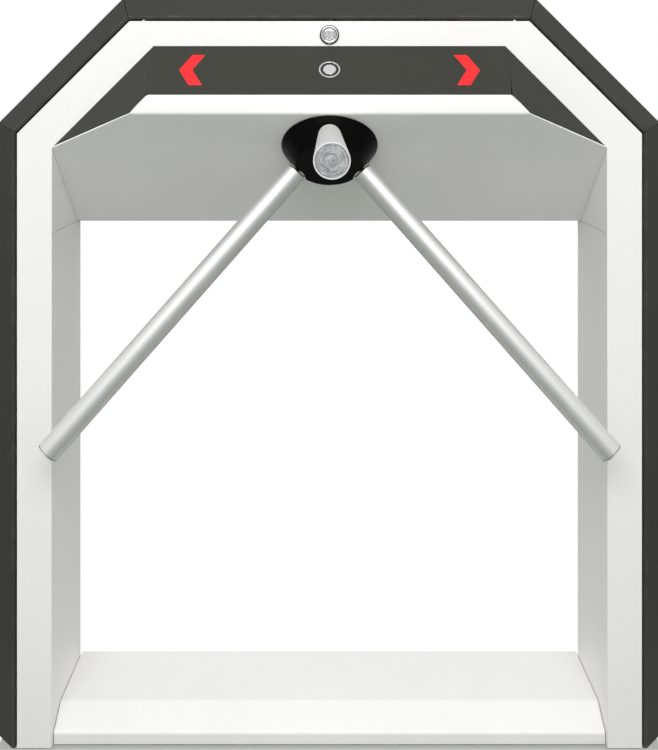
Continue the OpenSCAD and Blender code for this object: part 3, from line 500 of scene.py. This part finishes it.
bright_metal("stainless_steel", (0.78, 0.78, 0.775), (0.58, 0.58, 0.58), roughness=0.47, along=2400.0,
             across=60.0, rings=0.0, line_share=0.14, mottle=0.05, depth=0.000008, blotch=26.0,
             grazing_shade=0.12)
bright_metal("turned_aluminium", (0.93, 0.955, 0.97), (0.18, 0.195, 0.205), roughness=0.34, along=200.0,
             across=130.0, rings=900.0, line_share=0.85, mottle=0.30, depth=0.00005, blotch=420.0)
bright_metal("machined_steel", (0.50, 0.50, 0.51), (0.24, 0.24, 0.25), roughness=0.30, along=0.0,
             across=700.0, rings=0.0, line_share=0.6, mottle=0.21, depth=0.00003, blotch=60.0)
bright_metal("chrome", (0.86, 0.86, 0.87), (0.66, 0.66, 0.68), roughness=0.10, along=700.0,
             across=120.0, rings=900.0, line_share=0.3, mottle=0.10, depth=0.000006, blotch=200.0)

# %% [markdown]
# ### Satin black of the hub
# The hub is a moulded cover that hands brush past. Its black is never quite black, and its sheen is
# uneven where it has been touched, so the roughness varies over a few centimetres.

# %% Satin black


def satin_black():
    tree, shader = new_finish("black_plastic", Specular_IOR_Level=0.05)
    coat = use_group(tree, coat_grain, Colour=(0.0012, 0.0012, 0.0013, 1), Grain_scale=900.0,
                     Speckle=0.25, Drift=0.3)
    folds_worn_and_lit = use_group(tree, fold_wear_and_highlight, Amount=0.35)
    # The hub's rounded rims turn lighter too: partly wear, partly a painted highlight.
    tree.links.new(mix(tree, folds_worn_and_lit.outputs["Mask"], coat.outputs["Colour"], (0.022, 0.022, 0.023)),
                   shader.inputs["Base Color"])
    hands = noise(tree, object_place(tree), 42.0, detail=4.0, roughness=0.6)
    gloss = spread(tree, hands, 0.3, 0.7, 0.24, 0.36)
    tree.links.new(maths(tree, "ADD", gloss, coat.outputs["Gloss change"]), shader.inputs["Roughness"])
    bump(tree, shader, coat.outputs["Height"], 0.00004)


satin_black()

# %% [markdown]
# ### Lit red arrows
# Behind each arrow sits a small board of red lamps, and the acrylic in front spreads their light. It
# doesn't spread it perfectly: rows of slightly brighter spots show through. The glow is an emission whose
# colour varies with two crossed waves, one for the columns and one for the rows of lamps.

# %% Lit arrows
LAMP_PITCH = 6.5 * MM


def lit_red():
    tree, shader = new_finish("red_lens", Roughness=0.25, Specular_IOR_Level=0.12, Emission_Strength=0.90)
    place = tree.nodes.new("ShaderNodeSeparateXYZ")
    tree.links.new(object_place(tree), place.inputs["Vector"])
    waves = [maths(tree, "SINE", maths(tree, "MULTIPLY", place.outputs[axis], math.tau / LAMP_PITCH))
             for axis in ("X", "Z")]
    spots = spread(tree, maths(tree, "MULTIPLY", *waves), -1.0, 1.0)
    haze = noise(tree, object_place(tree), 90.0, detail=2.0)
    glow = maths(tree, "ADD", maths(tree, "MULTIPLY", spots, 0.35), maths(tree, "MULTIPLY", haze, 0.65))
    shade = spread(tree, glow, 0.25, 0.7, 0.0, 1.0)
    lit = mix(tree, shade, (0.94, 0.026, 0.032), (1.0, 0.046, 0.048))
    unlit = mix(tree, shade, (0.30, 0.004, 0.005), (0.36, 0.006, 0.006))
    tree.links.new(lit, shader.inputs["Emission Color"])
    tree.links.new(unlit, shader.inputs["Base Color"])


lit_red()

# %% [markdown]
# ### Finishes of the inner pieces
# What the covers hide is zinc plated, machined, moulded or a circuit board. Plating looks slightly
# blotched and bluish, a board has copper tracks under its green lacquer, and the cable has a matt sheath.

# %% Inner finishes


def zinc_plated():
    tree, shader = new_finish("zinc_steel", Metallic=0.9)
    place = object_place(tree)
    cells = tree.nodes.new("ShaderNodeTexVoronoi")
    cells.inputs["Scale"].default_value = 160.0
    tree.links.new(place, cells.inputs["Vector"])
    clouds = noise(tree, place, 30.0, detail=4.0)
    shade = spread(tree, clouds, 0.3, 0.7)
    base = mix(tree, shade, (0.44, 0.46, 0.47), (0.56, 0.57, 0.55))
    tree.links.new(mix(tree, 0.12, base, cells.outputs["Color"]), shader.inputs["Base Color"])
    tree.links.new(spread(tree, clouds, 0.3, 0.7, 0.34, 0.50), shader.inputs["Roughness"])
    bump(tree, shader, cells.outputs["Distance"], 0.00002)


def circuit_board():
    tree, shader = new_finish("circuit_board", Specular_IOR_Level=0.5)
    place = object_place(tree)
    tracks = tree.nodes.new("ShaderNodeTexBrick")
    tracks.inputs["Scale"].default_value = 90.0
    tracks.inputs["Mortar Size"].default_value = 0.03
    tracks.inputs["Color1"].default_value = (0.020, 0.120, 0.055, 1)
    tracks.inputs["Color2"].default_value = (0.016, 0.100, 0.048, 1)
    tracks.inputs["Mortar"].default_value = (0.060, 0.230, 0.090, 1)
    tree.links.new(place, tracks.inputs["Vector"])
    lacquer = noise(tree, place, 220.0, detail=3.0)
    tree.links.new(tracks.outputs["Color"], shader.inputs["Base Color"])
    tree.links.new(spread(tree, lacquer, 0.3, 0.7, 0.26, 0.40), shader.inputs["Roughness"])
    bump(tree, shader, tracks.outputs["Fac"], 0.00003)


def cable_sheath():
    tree, shader = new_finish("cable_rubber", Specular_IOR_Level=0.35)
    coat = use_group(tree, coat_grain, Colour=(0.018, 0.018, 0.019, 1), Grain_scale=700.0,
                     Speckle=0.2, Drift=0.2)
    tree.links.new(coat.outputs["Colour"], shader.inputs["Base Color"])
    tree.links.new(maths(tree, "ADD", 0.62, coat.outputs["Gloss change"]), shader.inputs["Roughness"])
    bump(tree, shader, coat.outputs["Height"], 0.00005)


zinc_plated()
circuit_board()
cable_sheath()
print(len(finishes), "finishes:", ", ".join(sorted(finishes)))

# %% Every CAD node gets the finish of its slot
for name, node in nodes.items():
    node.data.materials.clear()
    node.data.materials.append(finishes[slots[name]])

# %% [markdown]
# ## Rounding the folds of sheet metal
# A press brake never leaves a sharp fold, and powder coat rounds every cut edge. The CAD pieces have the
# right shape but knife-sharp corners, so each visible one is copied, its loose triangles are merged back
# into whole faces, and its corners are bevelled. Wide folds get a radius of two or three millimetres, and
# cut edges a few tenths. The new faces are marked for the wear and the painted highlight described above.

# %% Helpers for rounding


def merged_copy(node):
    """A bmesh of a CAD node with its triangles merged back into flat faces."""
    shape = bmesh.new()
    shape.from_mesh(nodes[node].data)
    bmesh.ops.remove_doubles(shape, verts=shape.verts, dist=0.005 * MM)
    bmesh.ops.dissolve_limit(shape, angle_limit=math.radians(0.3), verts=shape.verts, edges=shape.edges)
    return shape


def round_edges(shape, radius, segments, chosen=None, sharper_than=25.0):
    """Bevels the sharp edges of a bmesh, or those that chosen(edge) picks, and marks the new faces."""
    mark = shape.loops.layers.float.get("fold") or shape.loops.layers.float.new("fold")
    limit = math.radians(sharper_than)
    edges = [edge for edge in shape.edges
             if len(edge.link_faces) == 2 and edge.calc_face_angle(0) > limit
             and (chosen is None or chosen(edge))]
    made = bmesh.ops.bevel(shape, geom=edges, offset=radius, offset_type="OFFSET", segments=segments,
                           profile=0.5, affect="EDGES", material=-1, clamp_overlap=True)
    for face in made["faces"]:
        for corner in face.loops:
            corner[mark] = 1.0
    bmesh.ops.remove_doubles(shape, verts=shape.verts, dist=0.02 * MM)
    bmesh.ops.dissolve_degenerate(shape, dist=0.01 * MM, edges=shape.edges)
    return len(edges)


def as_piece(name, shape, body, slot, replaced, sharp_from=40.0):
    """A bmesh as a finished piece that rides on a body and stands for CAD nodes."""
    many_sided = [face for face in shape.faces if len(face.verts) > 4]
    bmesh.ops.triangulate(shape, faces=many_sided, quad_method="BEAUTY", ngon_method="BEAUTY")
    data = bpy.data.meshes.new(name)
    shape.to_mesh(data)
    shape.free()
    data.shade_smooth()
    data.set_sharp_from_angle(angle=math.radians(sharp_from))
    data.materials.append(finishes[slot])
    piece = bpy.data.objects.new(name, data)
    bpy.context.scene.collection.objects.link(piece)
    even = piece.modifiers.new("even_shading", "WEIGHTED_NORMAL")
    even.keep_sharp = True
    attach(piece, body)
    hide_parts(*replaced)
    return piece


def folded(node, fold_radius, edge_radius, is_fold):
    """A sheet metal piece: wide folds where is_fold(edge) says so, and every other corner rounded finely."""
    shape = merged_copy(node)
    folds = round_edges(shape, fold_radius, 5, is_fold) if is_fold else 0
    rims = round_edges(shape, edge_radius, 2)
    print(f"{node}: {folds} folds at {fold_radius / MM:.1f} mm, {rims} rims at {edge_radius / MM:.2f} mm")
    return as_piece(node + "_skin", shape, body_of_node[node], slots[node], [node])


def middle(edge):
    return (edge.verts[0].co + edge.verts[1].co) / 2


def lies_along(edge, way, within=0.02):
    """Whether an edge runs along a direction."""
    run = (edge.verts[1].co - edge.verts[0].co).normalized()
    return abs(run.dot(way)) > 1 - within


# %% [markdown]
# ### The arch
# The white face, its outer lip and the cheeks of the legs are one folded sheet. Its folds are where the
# cheeks turn back from the face: upright edges on the face's plane at the passage's sides.

# %% Front panel
FOLD = 2.4 * MM
RIM = 0.35 * MM
NEAR = 0.2 * MM
face_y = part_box("front_panel")[0].y
passage_half = min(abs(vertex.co.x) for vertex in nodes["front_panel"].data.vertices if vertex.co.z < 0.5)


def turns_into_cheek(edge):
    place = middle(edge)
    return (abs(place.y - face_y) < NEAR and abs(abs(place.x) - passage_half) < NEAR
            and lies_along(edge, up))


folded("front_panel", FOLD, RIM, turns_into_cheek)

# %% [markdown]
# ### The housing under the nose
# The strip below the fascia turns down into the long slope, and the slope turns into the flat underside.
# Both folds run straight across, so every edge along X counts.

# %% Housing shell and ends
across = Vector((1, 0, 0))
LONG = 0.3


def runs_across(edge):
    low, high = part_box("housing_shell")
    place = middle(edge)
    at_a_fold = place.y - low.y < NEAR or place.z - low.z < NEAR
    clear_of_rims = place.y < high.y - 3 * MM and place.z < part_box("indicator_fascia")[0].z - 3 * MM
    return lies_along(edge, across) and edge.calc_length() > LONG and at_a_fold and clear_of_rims


folded("housing_shell", 2.6 * MM, RIM, runs_across)
folded("housing_ends", 0, RIM, None)
folded("rear_panel", 0, 0.5 * MM, None)

# %% [markdown]
# ### Nose and covers
# The fascia and the sides of the nose are flat charcoal plates. The covers round the outside are folded
# twice along their length, where the front land turns into the chamfer and the chamfer into the outside.

# %% Nose and covers


def runs_lengthwise(node):
    """Picks the outward folds that run along a cover, for a cover of any direction."""
    low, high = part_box(node)
    way = across if node == "top_lid" else up
    if "corner" in node:
        way = Vector((high.x - low.x, 0, high.z - low.z)).normalized()
        way.x *= 1 if low.x < 0 else -1

    def picks(edge):
        return lies_along(edge, way, 0.03) and edge.calc_length() > 0.1 and edge.is_convex \
            and middle(edge).y < high.y - 20 * MM

    return picks


for name in ("left_side_cover", "right_side_cover", "left_corner_cover", "right_corner_cover", "top_lid"):
    folded(name, 0.9 * MM, RIM, runs_lengthwise(name))
for name in ("indicator_fascia", "left_nose_side", "right_nose_side"):
    folded(name, 0, RIM, None)

# %% [markdown]
# ### Plinth
# The plinth is one bent sheet between the legs: an upright lip, a slope for the feet and a flat top. Its
# bends are softer than the arch's, as they are on the real one.

# %% Plinth


def plinth_fold(edge):
    is_long = edge.calc_length() > LONG
    return lies_along(edge, across) and edge.is_convex and is_long and middle(edge).z > 10 * MM


folded("plinth_cover", 3.0 * MM, RIM, plinth_fold)

# %% [markdown]
# ## Turned parts
# Hub, arms, collars, caps and lock are round, so each is a profile spun round its own axis: a few points
# of distance along the axis and radius, a full turn, and then rounded rims. Before the piece is put in its
# place, its own coordinates are stored for the tool lines.

# %% Helper for turned parts
STEPS = 96


def turned(profile, centre, way, rim=0.3 * MM, segments=3, steps=STEPS, sharper_than=20.0):
    """A closed profile of (along, radius) points, spun round an axis through centre that points way."""
    shape = bmesh.new()
    points = [shape.verts.new((radius, 0, along)) for along, radius in profile]
    lines = [shape.edges.new((first, second)) for first, second in zip(points, points[1:] + points[:1])
             if max(first.co.x, second.co.x) > 0]
    bmesh.ops.spin(shape, geom=points + lines, cent=(0, 0, 0), axis=(0, 0, 1), angle=math.tau,
                   steps=steps, use_merge=True)
    bmesh.ops.remove_doubles(shape, verts=shape.verts, dist=0.002 * MM)
    bmesh.ops.recalc_face_normals(shape, faces=shape.faces)
    round_edges(shape, rim, segments, sharper_than=sharper_than)
    own_place = shape.verts.layers.float_vector.new("own_place")
    for vertex in shape.verts:
        vertex[own_place] = vertex.co
    turn = up.rotation_difference(way).to_matrix().to_4x4()
    bmesh.ops.transform(shape, matrix=Matrix.Translation(centre) @ turn, verts=shape.verts)
    return shape


def mark_painted_shade(shape, start, end, below, above=0.0):
    """Marks the faces between two radii and between two places along the piece's own axis, where the finish paints
    shade.
    """
    own_place = shape.verts.layers.float_vector["own_place"]
    mark = shape.loops.layers.float.get("joint") or shape.loops.layers.float.new("joint")
    for face in shape.faces:
        places = [vertex[own_place] for vertex in face.verts]
        middle_place = sum(places, Vector()) / len(places)
        if start <= middle_place.z <= end and above < middle_place.xy.length < below:
            for corner in face.loops:
                corner[mark] = 1.0
    return shape


def joined(shapes):
    """Several bmeshes as one. Each keeps its own stored coordinates."""
    whole = shapes[0]
    for shape in shapes[1:]:
        data = bpy.data.meshes.new("part")
        shape.to_mesh(data)
        whole.from_mesh(data)
        bpy.data.meshes.remove(data)
        shape.free()
    return whole


# %% [markdown]
# ### Arms
# An arm is a thin-walled tube. Its profile is a long, narrow rectangle away from the axis, so the spin
# leaves it hollow, and its end shows the tube's wall round the cap. A fine groove runs round it just
# before the tip, and its inside is painted dark as shade.

# %% Arms
tube_start, tip, tube_radius = reach("arm_1", apex, arm_ways[0])
arm_steps = [vertex.co - apex for vertex in nodes["arm_1"].data.vertices]
bore_radius = min((step - arm_ways[0] * step.dot(arm_ways[0])).length for step in arm_steps)
JOINT_BACK = 2.6 * MM
JOINT_W = 0.7 * MM
JOINT_D = 0.6 * MM
joint_from = tip - JOINT_BACK
for name, way in zip(arm_names, arm_ways):
    tube = turned([(tube_start, tube_radius), (joint_from, tube_radius), (joint_from, tube_radius - JOINT_D),
                   (joint_from + JOINT_W, tube_radius - JOINT_D), (joint_from + JOINT_W, tube_radius),
                   (tip, tube_radius), (tip, bore_radius), (tube_start, bore_radius)],
                  apex, way, rim=0.2 * MM)
    # The groove's faces are painted dark: painted shade in the groove.
    mark_painted_shade(tube, joint_from, joint_from + JOINT_W, tube_radius - 0.1 * MM)
    as_piece(name + "_tube", tube, "rotor", "stainless_steel", [name])
print(f"arms: {tube_start:.3f} to {tip:.3f} m, bore radius {bore_radius / MM:.2f} mm")

# %% [markdown]
# ### End caps
# Each cap is faced on a lathe, which leaves shallow rings. The widest rings are in the mesh, and the finest
# are in the finish, which is also mottled like cast metal. A narrow gap parts the cap from its tube.

# %% End caps
CAP_T = 9 * MM
RING_STEP = 2.2 * MM
RING_DEPTH = 0.06 * MM
RING_FALL = 0.35 * MM
RING_FLOOR = 0.9 * MM
RING_W = 1.2 * MM
CAP_LAND = 1.1 * MM
PLAIN_CENTRE = 2.5 * RING_STEP
CAP_GAP = 0.30 * MM
cap_face = tip - 0.8 * MM


def cap_profile():
    """From the back of the cap to its face, then inwards over shallow rings to a plain centre."""
    edge = bore_radius - CAP_GAP
    points = [(cap_face - CAP_T, 0), (cap_face - CAP_T, edge), (cap_face, edge)]
    radius = edge - CAP_LAND
    while radius > PLAIN_CENTRE:
        points += [(cap_face, radius), (cap_face - RING_DEPTH, radius - RING_FALL),
                   (cap_face - RING_DEPTH, radius - RING_FLOOR), (cap_face, radius - RING_W)]
        radius -= RING_STEP
    return points + [(cap_face, 0)]


caps = joined([turned(cap_profile(), apex, way, rim=0.25 * MM, segments=2, sharper_than=60.0)
               for way in arm_ways])
as_piece("arm_end_caps", caps, "rotor", "turned_aluminium", ["arm_caps"])

# %% [markdown]
# ### Collars
# Between the hub and each arm sits a bright collar with a groove at each side. The grooves are painted dark
# as shade, so they read as two thin dark rings. The collar's hidden plug fills the tube, and its spigot goes
# into the hub.

# %% Collars
COLLAR_R = 14.3 * MM
COLLAR_FROM = 62 * MM
GROOVE_BACK = 5.6 * MM
GROOVE_W = 1.5 * MM
ROOT_GAP_W = 1.7 * MM
GROOVE_D = 1.2 * MM
SPIGOT_R = 9.9 * MM
SPIGOT_L = 10 * MM
PLUG_PLAY = 0.1 * MM
PLUG_L = 30 * MM


def collar_profile():
    neck = COLLAR_R - GROOVE_D
    plug = bore_radius - PLUG_PLAY
    return [(COLLAR_FROM - SPIGOT_L, 0), (COLLAR_FROM - SPIGOT_L, SPIGOT_R), (COLLAR_FROM, SPIGOT_R),
            (COLLAR_FROM, COLLAR_R), (tube_start - GROOVE_BACK, COLLAR_R),
            (tube_start - GROOVE_BACK, neck), (tube_start - GROOVE_BACK + GROOVE_W, neck),
            (tube_start - GROOVE_BACK + GROOVE_W, COLLAR_R), (tube_start - ROOT_GAP_W, COLLAR_R),
            (tube_start - ROOT_GAP_W, neck), (tube_start, neck), (tube_start, plug),
            (tube_start + PLUG_L, plug), (tube_start + PLUG_L, 0)]


# Each collar's grooves and shoulder are painted dark: painted shade.
collars = joined([mark_painted_shade(turned(collar_profile(), apex, way, rim=0.2 * MM), COLLAR_FROM, tube_start,
                             COLLAR_R - 0.3 * MM) for way in arm_ways])
as_piece("arm_root_collars", collars, "rotor", "stainless_steel", ["arm_collars"])

# %% [markdown]
# ### Hub cover
# The hub is a shallow black cone with a round seat where each arm leaves it. The seats cross the cone's
# skin at a slant, so the CAD shape is copied and only its rims are rounded: the face's rim widely, the
# others finely.

# %% Hub cover
_, hub_high, hub_radius = reach("hub_cover", apex, shaft_way)


def hub_face_rim(edge):
    step = middle(edge) - apex
    radius = (step - shaft_way * step.dot(shaft_way)).length
    return abs(step.dot(shaft_way) - hub_high) < NEAR and radius > 0.6 * hub_radius


hub = merged_copy("hub_cover")
print("hub rims:", round_edges(hub, 3.0 * MM, 6, hub_face_rim), round_edges(hub, 0.5 * MM, 2))
as_piece("hub_cover_skin", hub, "rotor", "black_plastic", ["hub_cover"])

# %% [markdown]
# ## Arrows, badge and lock
# The arrows are thick acrylic with slightly rounded rims. The badge is a plain round one: a ring with a
# disc in it. The lock has a stepped face, and its plug has a keyway. The step and the outer chamfer of the
# face are painted dark as shade.

# %% Arrows
for name in ("left_arrow_lens", "right_arrow_lens"):
    lens = merged_copy(name)
    round_edges(lens, 0.5 * MM, 3)
    as_piece(name + "_lit", lens, "arch", "red_lens", [name])

# %% Badge
badge = merged_copy("fascia_badge")
round_edges(badge, 0.25 * MM, 3)
as_piece("round_badge", badge, "arch", "chrome", ["fascia_badge"])

# %% Lock body
back_reach, front_reach, lock_radius = reach("lock_body", lock_centre, front)
plug_radius = reach("lock_plug", lock_centre, front)[2]
lock_front = -front_reach
lock_back = -back_reach
BARREL_R = 9.5 * MM
RIM_W = 2.0 * MM
STEP_IN = 3.6 * MM
STEP_D = 0.9 * MM
BORE_PLAY = 0.12 * MM


def lock_profile():
    """From the barrel's back end to the face ring, in over its step, and back along the bore."""
    bore = plug_radius + BORE_PLAY
    return [(lock_back, BARREL_R), (0, BARREL_R), (0, lock_radius), (lock_front + STEP_D, lock_radius),
            (lock_front, lock_radius - RIM_W), (lock_front, lock_radius - STEP_IN),
            (lock_front + STEP_D, lock_radius - STEP_IN - STEP_D), (lock_front + STEP_D, bore + 1.6 * MM),
            (lock_front, bore + 1.0 * MM), (lock_front, bore), (lock_back, bore)]


lock_ring = turned(lock_profile(), lock_centre, -front, rim=0.25 * MM, steps=72)
lock_end = lock_front + STEP_D + NEAR
# The step of the lock's face and its outer chamfer are painted dark: painted shade.
mark_painted_shade(lock_ring, lock_front - NEAR, lock_end, lock_radius - STEP_IN, lock_radius - STEP_IN - STEP_D)
mark_painted_shade(lock_ring, lock_front + NEAR, lock_end, lock_radius + NEAR, lock_radius - RIM_W)
as_piece("lock_face_ring", lock_ring, "arch", "chrome", ["lock_body"])

# %% Lock plug
plug = merged_copy("lock_plug")
round_edges(plug, 0.35 * MM, 3)
as_piece("lock_plug_with_keyway", plug, "lock_cylinder", "chrome", ["lock_plug"])

# %% [markdown]
# ## Hinges and hook behind the lid
# These show from behind and with the lid open. Their corners are broken a little, as pressed parts' are.

# %% Hinges and hook
for name in ("lid_hinge_fixed_leaves", "lid_hinge_moving_leaves", "lid_hinge_pins", "lid_hook"):
    folded(name, 0, 0.2 * MM, None)
